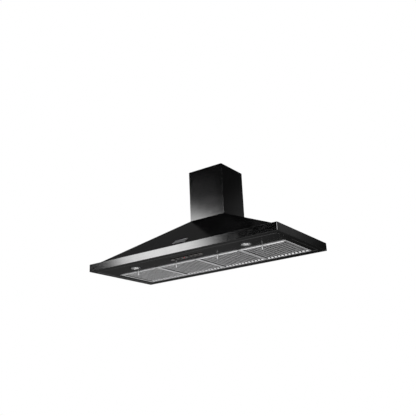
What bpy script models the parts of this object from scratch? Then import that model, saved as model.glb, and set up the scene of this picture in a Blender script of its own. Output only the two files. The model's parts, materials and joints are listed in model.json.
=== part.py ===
"""Wall chimney range hood, 110 cm wide, as an assembly of separate pieces.

Metres, +Z up, +X to the right seen from the front, +Y towards the wall.
The wall plane is y = 0. Heights in this file count from the underside of the rim, and the
hood_frame empty drops everything so that the world's origin is on the wall at the hanging line.
"""
import math

import bmesh
import bpy
from mathutils import Matrix, Vector

# ---------------------------------------------------------------- driving dimensions
WIDTH = 1.100              # rim, left to right
DEPTH = 0.485              # rim, wall to front
RIM_HEIGHT = 0.038
RIM_LEDGE = 0.020          # flat step between the rim face and the sloping canopy
FRONT_HEM = 0.038          # rim's bottom fold, front
SIDE_HEM = 0.025           # rim's bottom fold, sides
HEM_LIP = 0.008
CANOPY_TOP = 0.241
CHIMNEY_TOP = 0.513
CHIMNEY_WIDTH = 0.208
CHIMNEY_DEPTH = 0.200
HANG_HEIGHT = 0.150        # keyhole seats above the rim's underside
KEYHOLE_X = 0.220

SHEET = 0.0010             # painted steel sheet
BACK_SHEET = 0.0012
GAP = 0.0003               # between pieces that touch
FOLD = 0.0020              # outside radius of folded edges

FILTER_COUNT = 4
FILTER_PITCH = 0.2475
FILTER_WIDTH = 0.2468
FILTER_FRONT = -0.3125
FILTER_REAR = -0.0485
FILTER_BOTTOM = 0.0003
FILTER_HEIGHT = 0.0100
FILTER_PIVOT = (-0.0500, 0.0020)   # y and height of the filters' swing axis
FRAME_SHEET = 0.0008
FRAME_SIDE = 0.010
FRAME_FRONT = 0.013
FRONT_LIP = 0.0033         # bead under each filter's front member
FRONT_LIP_HALF = 0.1135
BAFFLE_PITCH = 0.019
BAFFLE_WIDTH = 0.013
BAFFLE_SHEET = 0.0006
BAFFLE_COUNT = 12
BAFFLE_LOW = 0.0042        # underside of the lower channels
BAFFLE_HIGH = 0.0089       # top of the upper channels
BAFFLE_RAMP = 0.009        # length over which a lower channel's end drops on to the frame

PANEL_BOTTOM = 0.0015      # light panel and side rails, just inside the rim's underside
PANEL_HALF = 0.5235
PANEL_FRONT = -0.4455
PANEL_REAR = -0.3145
LAMP_X = 0.3285
LAMP_Y = -0.379
LAMP_HOLE = 0.0255
CONTROL_Y = -0.387
CONTROL_LENGTH = 0.188
CONTROL_DEPTH = 0.022
CONTROL_RIM = 0.0022       # width of the trim round the control strip
BUTTON_PITCH = 0.026
BUTTON_SLOTS = (-2.5, -1.5, 0.5, 1.5, 2.5)
INDICATOR_SLOT = -0.5

BADGE_X = -0.006
BADGE_SIZE = (0.076, 0.032, 0.003)
BADGE_UP_SLOPE = 0.0532    # badge centre, from the foot of the front slope

WHEEL_Y = -0.084
WHEEL_Z = 0.120
WHEEL_RADIUS = 0.060
WHEEL_HALF = 0.070
SCROLL_START = 0.066
SCROLL_GROWTH = 0.022
HOUSING_HALF = 0.080
HOUSING_WALL = 0.0020
SHAFT_RADIUS = 0.004
DUCT_Y = -0.107
COLLAR_RADIUS = 0.0745
COLLAR_TOP = 0.300
DAMPER_Z = 0.252

COLLECTION = "range_hood"
TAU = 2.0 * math.pi

MATERIALS = {
    "black_enamel": ((0.012, 0.012, 0.013, 1), 0.22, 0.0),
    "stainless": ((0.56, 0.56, 0.57, 1), 0.32, 1.0),
    "zinc_steel": ((0.50, 0.51, 0.52, 1), 0.45, 1.0),
    "chrome": ((0.78, 0.78, 0.80, 1), 0.10, 1.0),
    "polished": ((0.85, 0.85, 0.86, 1), 0.15, 1.0),
    "black_plastic": ((0.02, 0.02, 0.02, 1), 0.45, 0.0),
    "black_gloss": ((0.01, 0.01, 0.01, 1), 0.15, 0.0),
    "grey_plastic": ((0.30, 0.30, 0.31, 1), 0.50, 0.0),
    "white_plastic": ((0.80, 0.80, 0.78, 1), 0.50, 0.0),
    "red_lens": ((0.60, 0.02, 0.02, 1), 0.20, 0.0),
    "clear_glass": ((0.90, 0.92, 0.92, 1), 0.05, 0.0),
    "badge_metal": ((0.40, 0.40, 0.41, 1), 0.40, 1.0),
}


# ---------------------------------------------------------------- helpers
def clear_scene():
    for obj in list(bpy.data.objects):
        bpy.data.objects.remove(obj, do_unlink=True)


def new_collection(name):
    collection = bpy.data.collections.new(name)
    bpy.context.scene.collection.children.link(collection)
    return collection


def make_material(name):
    colour, roughness, metallic = MATERIALS[name]
    material = bpy.data.materials.new(name)
    material.use_nodes = True
    shader = material.node_tree.nodes["Principled BSDF"]
    shader.inputs["Base Color"].default_value = colour
    shader.inputs["Roughness"].default_value = roughness
    shader.inputs["Metallic"].default_value = metallic
    material.diffuse_color = colour
    return material


def place(obj, material=None, location=(0, 0, 0), rotation=(0, 0, 0), cutter=False):
    """File the object in its collection, under the hood frame."""
    for collection in list(obj.users_collection):
        collection.objects.unlink(obj)
    (CUTTERS if cutter else PARTS).objects.link(obj)
    obj.parent = HOOD_FRAME
    obj.location = location
    obj.rotation_euler = rotation
    if cutter:
        obj.hide_render = True
        obj.display_type = 'WIRE'
    if material:
        obj.data.materials.clear()
        obj.data.materials.append(PAINTS[material])
    return obj


def object_from(bm, name):
    mesh = bpy.data.meshes.new(name)
    bm.to_mesh(mesh)
    bm.free()
    return bpy.data.objects.new(name, mesh)


def smooth(obj, degrees=30):
    obj.data.shade_smooth()
    obj.data.set_sharp_from_angle(angle=math.radians(degrees))


def folded_sheet(name, stations, material, thickness=SHEET, fold=FOLD, closed=False, **where):
    """Sheet metal: equal rows of points joined by faces, folds rounded, thickened by Solidify."""
    bm = bmesh.new()
    rows = [[bm.verts.new(point) for point in row] for row in stations]
    pairs = list(zip(rows, rows[1:]))
    if closed:
        pairs.append((rows[-1], rows[0]))
    for row, following in pairs:
        for i in range(len(row) - 1):
            bm.faces.new((row[i], row[i + 1], following[i + 1], following[i]))
    bm.normal_update()
    bends = [e for e in bm.edges if len(e.link_faces) == 2 and e.calc_face_angle() > 0.35]
    bmesh.ops.bevel(bm, geom=bends, offset=fold, segments=2, profile=0.5, affect='EDGES')
    obj = place(object_from(bm, name), material, **where)
    solidify = obj.modifiers.new("Sheet", 'SOLIDIFY')
    solidify.thickness = thickness
    solidify.offset = -1.0
    solidify.use_even_offset = True
    smooth(obj, 20)
    return obj


def extruded_profile(name, profile, half_length, material):
    """A folded profile of (y, z) points, running along X."""
    stations = [[(x, y, z) for y, z in profile] for x in (-half_length, half_length)]
    return folded_sheet(name, stations, material)


def loft(bm, rings):
    """A closed solid through equal rings of points, capped at both ends."""
    rows = [[bm.verts.new(point) for point in ring] for ring in rings]
    for row, following in zip(rows, rows[1:]):
        for i in range(len(row)):
            j = (i + 1) % len(row)
            bm.faces.new((row[i], row[j], following[j], following[i]))
    bm.faces.new(rows[0][::-1])
    bm.faces.new(rows[-1])


def block(name, low, high, material=None, bevel=0.0, segments=2, cutter=False):
    """A box between two corners, its edges optionally rounded."""
    centre = (Vector(low) + Vector(high)) / 2
    bpy.ops.mesh.primitive_cube_add(size=1.0)
    obj = bpy.context.object
    obj.name = name
    obj.scale = Vector(high) - Vector(low)
    bpy.ops.object.transform_apply(location=False, rotation=False, scale=True)
    place(obj, material, location=centre, cutter=cutter)
    if bevel:
        modifier = obj.modifiers.new("Edges", 'BEVEL')
        modifier.width = bevel
        modifier.segments = segments
        smooth(obj)
    return obj


def turned(name, profile, material=None, steps=48, ring=False, cutter=False, **where):
    """A turned shape about local Z. The (radius, z) profile runs down its outer side."""
    bm = bmesh.new()
    verts = [bm.verts.new((radius, 0, z)) for radius, z in profile]
    links = list(zip(verts, verts[1:]))
    if ring:
        links.append((verts[-1], verts[0]))
    for pair in links:
        bm.edges.new(pair)
    obj = place(object_from(bm, name), material, cutter=cutter, **where)
    screw = obj.modifiers.new("Turn", 'SCREW')
    screw.steps = steps
    screw.render_steps = steps
    screw.use_merge_vertices = True
    screw.merge_threshold = 0.00002
    screw.use_smooth_shade = False
    return obj


def cylinder(name, radius, low, high, material=None, steps=32, cutter=False, **where):
    profile = [(0, high), (radius, high), (radius, low), (0, low)]
    return turned(name, profile, material, steps=steps, cutter=cutter, **where)


def prism(name, outline, low, high, material=None, cutter=False, location=(0, 0, 0), rotation=(0, 0, 0)):
    """A flat outline of (x, y) points, extruded from low to high along local Z."""
    curve = bpy.data.curves.new(name, 'CURVE')
    curve.dimensions = '2D'
    curve.fill_mode = 'BOTH'
    curve.extrude = (high - low) / 2
    spline = curve.splines.new('POLY')
    spline.points.add(len(outline) - 1)
    for point, (x, y) in zip(spline.points, outline):
        point.co = (x, y, 0, 1)
    spline.use_cyclic_u = True
    guide = bpy.data.objects.new(name + "_outline", curve)
    bpy.context.scene.collection.objects.link(guide)
    evaluated = guide.evaluated_get(bpy.context.evaluated_depsgraph_get())
    mesh = bpy.data.meshes.new_from_object(evaluated)
    mesh.name = name
    bpy.data.objects.remove(guide, do_unlink=True)
    bm = bmesh.new()
    bm.from_mesh(mesh)
    bmesh.ops.remove_doubles(bm, verts=bm.verts, dist=0.00001)
    bmesh.ops.translate(bm, verts=bm.verts, vec=(0, 0, (low + high) / 2))
    bmesh.ops.recalc_face_normals(bm, faces=bm.faces)
    bm.to_mesh(mesh)
    bm.free()
    obj = bpy.data.objects.new(name, mesh)
    return place(obj, material, location=location, rotation=rotation, cutter=cutter)


def boolean(obj, tool, operation='DIFFERENCE'):
    modifier = obj.modifiers.new(operation.title() + " " + tool.name, 'BOOLEAN')
    modifier.operation = operation
    modifier.solver = 'EXACT'
    modifier.object = tool


def arc(centre, radius, start, end, steps):
    """Points on an arc in the profile plane, angles in degrees."""
    points = []
    for i in range(steps + 1):
        angle = math.radians(start + (end - start) * i / steps)
        points.append((centre[0] + radius * math.cos(angle), centre[1] + radius * math.sin(angle)))
    return points


def stadium(length, width, steps=10):
    """An oblong outline with half-round ends, centred on the origin."""
    reach = (length - width) / 2
    return arc((reach, 0), width / 2, -90, 90, steps) + arc((-reach, 0), width / 2, 90, 270, steps)


# ---------------------------------------------------------------- canopy sheet metal
def rim_stations(rows, rear):
    """Rows of (side inset, front inset, height), run round left side, front and right side."""
    half = WIDTH / 2
    corners = ((-1, True), (-1, False), (1, False), (1, True))
    stations = []
    for side, at_wall in corners:
        station = []
        for side_inset, front_inset, z in rows:
            y = rear if at_wall else -DEPTH + front_inset
            station.append((side * (half - side_inset), y, z))
        stations.append(station)
    return stations


def build_rim_band():
    rows = [
        (RIM_LEDGE, RIM_LEDGE, RIM_HEIGHT),
        (0.0, 0.0, RIM_HEIGHT),
        (0.0, 0.0, 0.0),
        (SIDE_HEM, FRONT_HEM, 0.0),
        (SIDE_HEM, FRONT_HEM, HEM_LIP),
    ]
    folded_sheet("rim_band", rim_stations(rows, -BACK_SHEET - GAP), "black_enamel")


def build_canopy_shell():
    skirt = 0.014
    flange = 0.008
    inset = RIM_LEDGE + GAP
    side_top = (WIDTH - CHIMNEY_WIDTH) / 2
    front_top = DEPTH - CHIMNEY_DEPTH
    rows = [
        (inset, inset, RIM_HEIGHT - skirt),
        (inset, inset, RIM_HEIGHT),
        (side_top, front_top, CANOPY_TOP),
        (side_top + flange, front_top + flange, CANOPY_TOP),
    ]
    stations = rim_stations(rows, -BACK_SHEET - GAP)
    folded_sheet("canopy_shell", stations[::-1], "black_enamel")


def build_rear_panel():
    half = WIDTH / 2 - 0.0005
    ledge = WIDTH / 2 - RIM_LEDGE - GAP
    right = [(half, 0.0), (half, RIM_HEIGHT), (ledge, RIM_HEIGHT), (CHIMNEY_WIDTH / 2, CANOPY_TOP - SHEET)]
    outline = right + [(-x, z) for x, z in reversed(right)]
    turn = (math.radians(90), 0, 0)
    panel = prism("rear_panel", outline, 0.0, BACK_SHEET, "zinc_steel", rotation=turn)
    for side in (-1, 1):
        keyhole = arc((0, -0.012), 0.006, 120, 420, 20) + arc((0, 0), 0.003, 0, 180, 8)
        tool = prism("keyhole_cutter", keyhole, -0.004, 0.006, cutter=True, rotation=turn,
                     location=(side * KEYHOLE_X, 0, HANG_HEIGHT))
        boolean(panel, tool)


def build_light_panel():
    profile = [
        (PANEL_FRONT, 0.0115),
        (PANEL_FRONT, PANEL_BOTTOM),
        (PANEL_REAR, PANEL_BOTTOM),
        (PANEL_REAR, 0.0130),
    ]
    panel = extruded_profile("light_panel", profile, PANEL_HALF, "black_enamel")
    for side in (-1, 1):
        boolean(panel, cylinder("lamp_hole_cutter", LAMP_HOLE, -0.01, 0.01, cutter=True, steps=32,
                                location=(side * LAMP_X, LAMP_Y, 0)))
    outline = stadium(CONTROL_LENGTH - 0.012, CONTROL_DEPTH - 0.005)
    boolean(panel, prism("control_cutter", outline, -0.01, 0.01, cutter=True,
                         location=(0, CONTROL_Y, 0)))


def build_filter_rails():
    rear = [
        (-BACK_SHEET - GAP, 0.030),
        (-BACK_SHEET - GAP, 0.0005),
        (-0.0470, 0.0005),
        (-0.0470, 0.0135),
        (-0.0590, 0.0135),
    ]
    extruded_profile("rear_filter_rail", rear[::-1], PANEL_HALF, "black_enamel")
    outer, inner = PANEL_HALF, 0.4970
    profile = [(outer, 0.0115), (outer, PANEL_BOTTOM), (inner, PANEL_BOTTOM), (inner, 0.0118)]
    ends = (PANEL_REAR + GAP, -0.0470 - GAP)
    for name, side in (("side_rail_left", -1), ("side_rail_right", 1)):
        stations = [[(side * x, y, z) for x, z in profile] for y in ends]
        if side < 0:
            stations.reverse()
        folded_sheet(name, stations, "black_enamel")


# ---------------------------------------------------------------- grease filters
def filter_origin(index):
    x = (index - (FILTER_COUNT - 1) / 2) * FILTER_PITCH
    return (x, FILTER_PIVOT[0], FILTER_PIVOT[1])


def rectangle_ring(half, front, rear, z):
    return [(-half, front, z), (half, front, z), (half, rear, z), (-half, rear, z)]


def build_filter_frame(name, origin):
    """A channel bent round the four sides, with a slot for the latch in the front one."""
    half = FILTER_WIDTH / 2
    front = FILTER_FRONT - FILTER_PIVOT[0]
    rear = FILTER_REAR - FILTER_PIVOT[0]
    bottom = FILTER_BOTTOM - FILTER_PIVOT[1]
    top = bottom + FILTER_HEIGHT
    inner = rectangle_ring(half - FRAME_SIDE, front + FRAME_FRONT, rear - FRAME_SIDE, bottom)
    rings = [
        inner,
        rectangle_ring(half, front, rear, bottom),
        rectangle_ring(half, front, rear, top),
        [(x, y, top) for x, y, _ in inner],
    ]
    stations = [list(corner) for corner in zip(*rings)][::-1]
    frame = folded_sheet(name, stations, "stainless", thickness=FRAME_SHEET, fold=0.0012,
                         closed=True, location=origin)
    x = origin[0]
    for side in (-1, 1):
        near, far = sorted((side * 0.0055, side * FRONT_LIP_HALF))
        lip = block("front_lip_guide", (x + near, FILTER_FRONT + 0.0003, FILTER_BOTTOM - FRONT_LIP),
                    (x + far, FILTER_FRONT + 0.0048, FILTER_BOTTOM + 0.0005), cutter=True)
        boolean(frame, lip, 'UNION')
    slot = block("latch_slot_cutter", (x - 0.0037, FILTER_FRONT + 0.0014, -0.002),
                 (x + 0.0037, FILTER_FRONT + 0.0116, 0.0020), cutter=True)
    mouth = block("latch_mouth_cutter", (x - 0.0087, FILTER_FRONT - 0.002, 0.0013),
                  (x + 0.0087, FILTER_FRONT + 0.002, 0.0040), cutter=True)
    boolean(frame, slot)
    boolean(frame, mouth)


def channel_section(x, base, tip):
    """A three-sided channel section: its web at base, its flanges reaching to tip."""
    up = 1 if tip > base else -1
    half = BAFFLE_WIDTH / 2
    wall = BAFFLE_SHEET
    return [
        (x - half, base), (x + half, base), (x + half, tip), (x + half - wall, tip),
        (x + half - wall, base + up * wall), (x - half + wall, base + up * wall),
        (x - half + wall, tip), (x - half, tip),
    ]


def baffle_mesh(front, rear):
    """Two layers of interleaved channels. The lower ones drop at the rear, on to the frame."""
    bm = bmesh.new()
    low, high = BAFFLE_LOW - FILTER_PIVOT[1], BAFFLE_HIGH - FILTER_PIVOT[1]
    rest = FILTER_BOTTOM + FRAME_SHEET + GAP - FILTER_PIVOT[1]
    frame_edge = FILTER_REAR - FILTER_PIVOT[0] - FRAME_SIDE
    lower = [(front, low), (frame_edge - BAFFLE_RAMP, low), (frame_edge, rest), (rear, rest)]
    upper = [(front, high), (rear, high)]
    first = -(BAFFLE_COUNT - 1) / 2 * BAFFLE_PITCH
    for i in range(BAFFLE_COUNT):
        x = first + i * BAFFLE_PITCH
        loft(bm, [[(px, y, pz) for px, pz in channel_section(x, base, low + 0.0030)]
                  for y, base in lower])
    for i in range(BAFFLE_COUNT - 1):
        x = first + (i + 0.5) * BAFFLE_PITCH
        loft(bm, [[(px, y, pz) for px, pz in channel_section(x, base, high - 0.0031)]
                  for y, base in upper])
    bmesh.ops.recalc_face_normals(bm, faces=bm.faces)
    return bm


def build_filter_baffles(names):
    """The baffle packs of all filters share one mesh; end strips tie the channels together."""
    front = FILTER_FRONT - FILTER_PIVOT[0] + FRAME_FRONT + 0.0005
    rear = FILTER_REAR - FILTER_PIVOT[0] - FRAME_SIDE + 0.0050
    half = FILTER_WIDTH / 2 - 0.0022
    bottom, top = 0.0064 - FILTER_PIVOT[1], 0.0092 - FILTER_PIVOT[1]
    strips = (
        ((-half, front - 0.0006, bottom), (half, front + 0.0014, top)),
        ((-half, rear - 0.0014, bottom), (half, rear + 0.0006, top)),
    )
    shared = object_from(baffle_mesh(front, rear), "baffle_channels").data
    for index, name in enumerate(names):
        origin = filter_origin(index)
        pack = place(bpy.data.objects.new(name, shared), "stainless", location=origin)
        for low, high in strips:
            corners = [Vector(corner) + Vector(origin) for corner in (low, high)]
            boolean(pack, block("end_strip_guide", *corners, cutter=True), 'UNION')


def build_filter_latch(name, origin):
    """A flat tongue with a round pull that hangs under the filter."""
    x = origin[0]
    front = FILTER_FRONT
    tongue = block(name, (x - 0.0083, front - 0.0008, 0.0016), (x + 0.0083, front + 0.0085, 0.0034),
                   "chrome")
    neck, grip, low = 0.0032, 0.0038, -0.0180
    profile = [(0, 0.0025), (neck, 0.0025), (neck, -0.0008), (grip, -0.0020)]
    profile += [(grip, low + 0.0015), (grip - 0.0015, low), (0, low)]
    pull = turned("latch_pull_guide", profile, steps=14, cutter=True,
                  location=(x, front + 0.0050, 0))
    boolean(tongue, pull, 'UNION')


# ---------------------------------------------------------------- lamps and controls
def build_lamp(side, suffix):
    centre = (side * LAMP_X, LAMP_Y, 0)
    lip = PANEL_BOTTOM - GAP
    ring = [(0.0225, lip), (0.0290, lip), (0.0290, lip - 0.0008), (0.0275, lip - 0.0028),
            (0.0235, lip - 0.0028), (0.0218, lip - 0.0012), (0.0218, lip)]
    turned("lamp_ring_" + suffix, ring, "grey_plastic", steps=28, ring=True, location=centre)
    cylinder("lamp_glass_" + suffix, 0.0215, lip - 0.0018, lip + 0.0010, "clear_glass", steps=28,
             location=centre)
    dish = [(0.0, 0.0400), (0.0120, 0.0400), (0.0135, 0.0300), (0.0205, 0.0180), (0.0250, 0.0070),
            (0.0250, 0.0030), (0.0240, 0.0030), (0.0238, 0.0070), (0.0194, 0.0175), (0.0124, 0.0295),
            (0.0108, 0.0388), (0.0, 0.0388)]
    turned("lamp_housing_" + suffix, dish, "polished", steps=24, location=centre)
    bulb = [(0.0, 0.0370), (0.0042, 0.0370), (0.0042, 0.0240), (0.0050, 0.0220), (0.0050, 0.0120),
            (0.0035, 0.0085), (0.0, 0.0075)]
    turned("halogen_bulb_" + suffix, bulb, "clear_glass", steps=14, location=centre)


def build_controls():
    lip = PANEL_BOTTOM - GAP
    middle = (0, CONTROL_Y, 0)
    opening = (CONTROL_LENGTH - 2 * CONTROL_RIM, CONTROL_DEPTH - 2 * CONTROL_RIM)
    bezel = prism("control_bezel", stadium(CONTROL_LENGTH, CONTROL_DEPTH), lip - 0.0038, lip,
                  "chrome", location=middle)
    boolean(bezel, prism("bezel_opening_cutter", stadium(*opening), -0.01, 0.01, cutter=True,
                         location=middle))
    fascia = prism("control_fascia", stadium(*(side - 2 * GAP for side in opening)),
                   lip - 0.0024, lip, "black_gloss", location=middle)
    module_bottom = PANEL_BOTTOM + SHEET + GAP
    module = block("switch_module", (-0.092, CONTROL_Y - 0.013, module_bottom),
                   (0.092, CONTROL_Y + 0.013, 0.030), "black_plastic")
    off_line = (0, 0, math.radians(9))  # keeps the holes' corners off the strip's centre line
    for slot in BUTTON_SLOTS:
        place_at = (slot * BUTTON_PITCH, CONTROL_Y, 0)
        boolean(fascia, cylinder("button_hole_cutter", 0.0071, -0.01, 0.01, cutter=True, steps=20,
                                 location=place_at, rotation=off_line))
        pocket = [(0, 0.0175), (0.0040, 0.0175), (0.0040, 0.0080), (0.0072, 0.0080),
                  (0.0072, 0.0), (0, 0.0)]
        boolean(module, turned("button_pocket_cutter", pocket, cutter=True, steps=16,
                               location=place_at))
    light_at = (INDICATOR_SLOT * BUTTON_PITCH, CONTROL_Y, 0)
    boolean(fascia, cylinder("indicator_hole_cutter", 0.0027, -0.01, 0.01, cutter=True, steps=12,
                             location=light_at, rotation=off_line))
    lens = [(0, 0.0024), (0.0023, 0.0024), (0.0023, -0.0028), (0.0016, -0.0036), (0, -0.0040)]
    turned("indicator_lens", lens, "red_lens", steps=12, location=light_at)
    cap = [(0, 0.0130), (0.0032, 0.0130), (0.0032, 0.0020), (0.0065, 0.0020), (0.0065, -0.0042),
           (0.0055, -0.0056), (0, -0.0056)]
    for number, slot in enumerate(BUTTON_SLOTS, start=1):
        turned("push_button_%d" % number, cap, "black_plastic", steps=20,
               location=(slot * BUTTON_PITCH, CONTROL_Y, 0))


def build_badge():
    """A plain plate lying on the front slope, just above the rim."""
    slope = math.atan2(CANOPY_TOP - RIM_HEIGHT, DEPTH - RIM_LEDGE - CHIMNEY_DEPTH)
    along = Vector((0, math.cos(slope), math.sin(slope)))
    outward = Vector((0, -math.sin(slope), math.cos(slope)))
    foot = Vector((BADGE_X, -DEPTH + RIM_LEDGE + GAP, RIM_HEIGHT))
    half = Vector(BADGE_SIZE) / 2
    plate = block("badge_plate", -half, half, "badge_metal", bevel=0.0008, segments=2)
    plate.location = foot + along * BADGE_UP_SLOPE + outward * (0.0006 + half.z)
    plate.rotation_euler = (slope, 0, 0)


# ---------------------------------------------------------------- blower
def scroll_outline(grow, top):
    """The spiral side view in (y, z) about the wheel's axis, open upwards to the outlet."""
    steps = 28
    start, end = 50.0, -180.0
    spiral = []
    for i in range(steps + 1):
        share = i / steps
        angle = math.radians(start + (end - start) * share)
        radius = SCROLL_START + SCROLL_GROWTH * share + grow
        spiral.append((radius * math.cos(angle), radius * math.sin(angle)))
    return [(spiral[0][0], top)] + spiral + [(spiral[-1][0], top)]


def deck_underside():
    return CANOPY_TOP - SHEET - GAP - 0.0015


def across(x=0.0, y=WHEEL_Y, z=WHEEL_Z):
    """Placing of a piece whose local Z runs along the wheel's axis, to the right."""
    return {"location": (x, y, z), "rotation": (0, math.radians(90), 0)}


def build_blower_housing():
    """Two half shells that meet in the middle, each with an inlet in its side."""
    top = deck_underside() - GAP - WHEEL_Z
    # local X is world Y, local Y is world Z, local Z is world X
    turn = Matrix(((0, 0, 1), (1, 0, 0), (0, 1, 0))).to_euler()
    for name, side in (("blower_housing_left", -1), ("blower_housing_right", 1)):
        near, far = sorted((side * GAP / 2, side * HOUSING_HALF))
        shell = prism(name, scroll_outline(HOUSING_WALL, top), near, far, "grey_plastic",
                      location=(0, WHEEL_Y, WHEEL_Z), rotation=turn)
        inner = sorted((-side * 0.004, side * (HOUSING_HALF - HOUSING_WALL)))
        hollow = prism("scroll_cutter", scroll_outline(0.0, top + 0.01), *inner, cutter=True,
                       location=(0, WHEEL_Y, WHEEL_Z), rotation=turn)
        inlet = cylinder("inlet_cutter", 0.0520, -0.006, 0.006, cutter=True, steps=40,
                         **across(x=side * HOUSING_HALF))
        boolean(shell, hollow)
        boolean(shell, inlet)


def build_blower_wheel():
    """A drum wheel with a centre disc and hub; the slots between the blades are cut through."""
    rim, inner, hub, bore = WHEEL_RADIUS, WHEEL_RADIUS - 0.010, 0.012, SHAFT_RADIUS + GAP
    half = WHEEL_HALF
    disc = 0.0015
    profile = [
        (rim, half), (rim, -half), (inner, -half), (inner, -disc), (hub, -disc), (hub, -0.006),
        (bore, -0.006), (bore, 0.012), (hub, 0.012), (hub, disc), (inner, disc), (inner, half),
    ]
    blades = 24
    wheel = turned("blower_wheel", profile, "zinc_steel", steps=blades, ring=True, **across())
    bm = bmesh.new()
    reach = 0.030
    for layer in (-1, 1):
        for i in range(blades):
            turn = Matrix.Rotation(TAU * (i + 0.5) / blades, 4, 'Z')
            middle = Matrix.Translation((WHEEL_RADIUS - 0.005, 0, layer * (half + disc) / 2))
            size = Matrix.Diagonal((reach, 0.0105, half - disc - 0.010, 1))
            bmesh.ops.create_cube(bm, size=1.0, matrix=turn @ middle @ size)
    slots = place(object_from(bm, "blade_slots_cutter"), cutter=True, **across())
    boolean(wheel, slots)


def build_blower_motor():
    back, front = -0.0795, -0.0100
    radius = 0.036
    bore = SHAFT_RADIUS + GAP
    floor = back + 0.012       # end of the blind bore that holds the shaft
    body = [(0.0, floor), (bore, floor), (bore, front), (0.014, front), (0.014, front - 0.003),
            (radius - 0.003, front - 0.003), (radius, front - 0.006), (radius, back + 0.004),
            (radius - 0.004, back), (0.0, back)]
    motor = turned("blower_motor", body, "zinc_steel", steps=28, **across())
    vent_count = 6
    for i in range(vent_count):
        angle = TAU * i / vent_count
        y = WHEEL_Y + radius * math.cos(angle)
        z = WHEEL_Z + radius * math.sin(angle)
        size = (0.020, 0.004, 0.004)
        vent = block("motor_vent_cutter", [-s / 2 for s in size], [s / 2 for s in size], cutter=True)
        vent.location = (-0.045, y, z)
        vent.rotation_euler = (angle, 0, 0)
        boolean(motor, vent)
    cylinder("motor_shaft", SHAFT_RADIUS, back + 0.0140, 0.0150, "zinc_steel", steps=14, **across())


def build_motor_bracket():
    """A hub plate with three arms, screwed over the left inlet."""
    outer_face = -HOUSING_HALF - GAP
    arms = 3
    bracket = cylinder("motor_bracket", 0.030, outer_face - 0.0025, outer_face, "zinc_steel",
                       steps=28, **across())
    for i in range(arms):
        angle = math.radians(90) + TAU * i / arms
        y = WHEEL_Y + 0.041 * math.cos(angle)
        z = WHEEL_Z + 0.041 * math.sin(angle)
        arm = block("bracket_arm_guide", (-0.00122, -0.021, -0.008), (0.00122, 0.021, 0.008),
                    cutter=True)
        arm.location = (outer_face - 0.00125, y, z)
        arm.rotation_euler = (angle, 0, 0)
        boolean(bracket, arm, 'UNION')


def build_blower_deck():
    low = deck_underside()
    deck = block("blower_deck", (-0.100, -0.197, low), (0.100, -0.004, low + 0.0015), "zinc_steel")
    hole = cylinder("outlet_cutter", COLLAR_RADIUS - 0.004, low - 0.01, low + 0.01, cutter=True,
                    steps=48, location=(0, DUCT_Y, 0))
    boolean(deck, hole)


def build_outlet_collar():
    low = CANOPY_TOP - SHEET
    outer, inner, flange = COLLAR_RADIUS, COLLAR_RADIUS - 0.002, 0.0825
    profile = [(inner, COLLAR_TOP), (outer - 0.0006, COLLAR_TOP), (outer, COLLAR_TOP - 0.002),
               (outer, low + 0.002), (flange, low + 0.002), (flange, low), (inner, low)]
    turned("outlet_collar", profile, "black_plastic", steps=40, ring=True, location=(0, DUCT_Y, 0))
    half = COLLAR_RADIUS - 0.002 - GAP - 0.0004
    cylinder("damper_pin", 0.0020, -half, half, "zinc_steel", steps=16,
             **across(y=DUCT_Y, z=DAMPER_Z))


def build_damper_flap(name, side, knuckles):
    """A half disc that hangs on the pin by two knuckles; side is -1 in front, +1 behind."""
    radius = 0.0705
    clear = 0.0046
    start = math.degrees(math.asin(clear / radius))
    outline = arc((0, 0), radius, start, 180 - start, 24)
    outline = [(x, side * y) for x, y in outline]
    origin = (0, DUCT_Y, DAMPER_Z)
    flap = prism(name, outline, -0.0006, 0.0006, "black_plastic", location=origin)
    for x in knuckles:
        web = sorted((side * 0.0030, side * (clear + 0.0030)))
        low = Vector(origin) + Vector((x - 0.0090, web[0], -0.0005))
        high = Vector(origin) + Vector((x + 0.0090, web[1], 0.0005))
        boolean(flap, block("flap_web_guide", low, high, cutter=True), 'UNION')
        barrel = [(0.0037, 0.0095), (0.0037, -0.0095), (0.0023, -0.0095), (0.0023, 0.0095)]
        boolean(flap, turned("flap_barrel_guide", barrel, steps=14, ring=True, cutter=True,
                             **across(x=x, y=DUCT_Y, z=DAMPER_Z)), 'UNION')


# ---------------------------------------------------------------- electrics
def build_electrics():
    wall = 0.0020
    low, high = (0.150, -0.060, 0.050), (0.270, -0.004, 0.112)
    case = block("electrical_box", low, high, "black_plastic")
    hollow_low = (low[0] + wall, low[1] - 0.010, low[2] + wall)
    hollow_high = (high[0] - wall, high[1] - wall, high[2] - wall)
    boolean(case, block("box_cutter", hollow_low, hollow_high, cutter=True))
    entry = (0.180, -0.032)
    boolean(case, cylinder("entry_cutter", 0.0078, 0.10, 0.12, cutter=True, steps=24,
                           location=(entry[0], entry[1], 0)))
    block("electrical_box_lid", (low[0], low[1] - GAP - 0.0022, low[2]),
          (high[0], low[1] - GAP, high[2]), "black_plastic", bevel=0.0008)
    top = high[2]
    gland = [(0.0045, top + 0.018), (0.0085, top + 0.018), (0.0100, top + 0.015),
             (0.0110, top + 0.004), (0.0110, top + GAP), (0.0075, top + GAP),
             (0.0075, top - 0.006), (0.0045, top - 0.006)]
    turned("cable_gland", gland, "black_plastic", steps=16, ring=True,
           location=(entry[0], entry[1], 0))
    can = [(0, 0.056), (0.0125, 0.056), (0.0140, 0.0545), (0.0140, 0), (0, 0)]
    turned("motor_capacitor", can, "white_plastic", steps=20,
           location=(0.196, -0.034, low[2] + 0.018), rotation=(0, math.radians(90), 0))
    block("lamp_transformer", (-0.265, -0.046, 0.050), (-0.160, -0.004, 0.078), "black_plastic",
          bevel=0.003)


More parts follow.
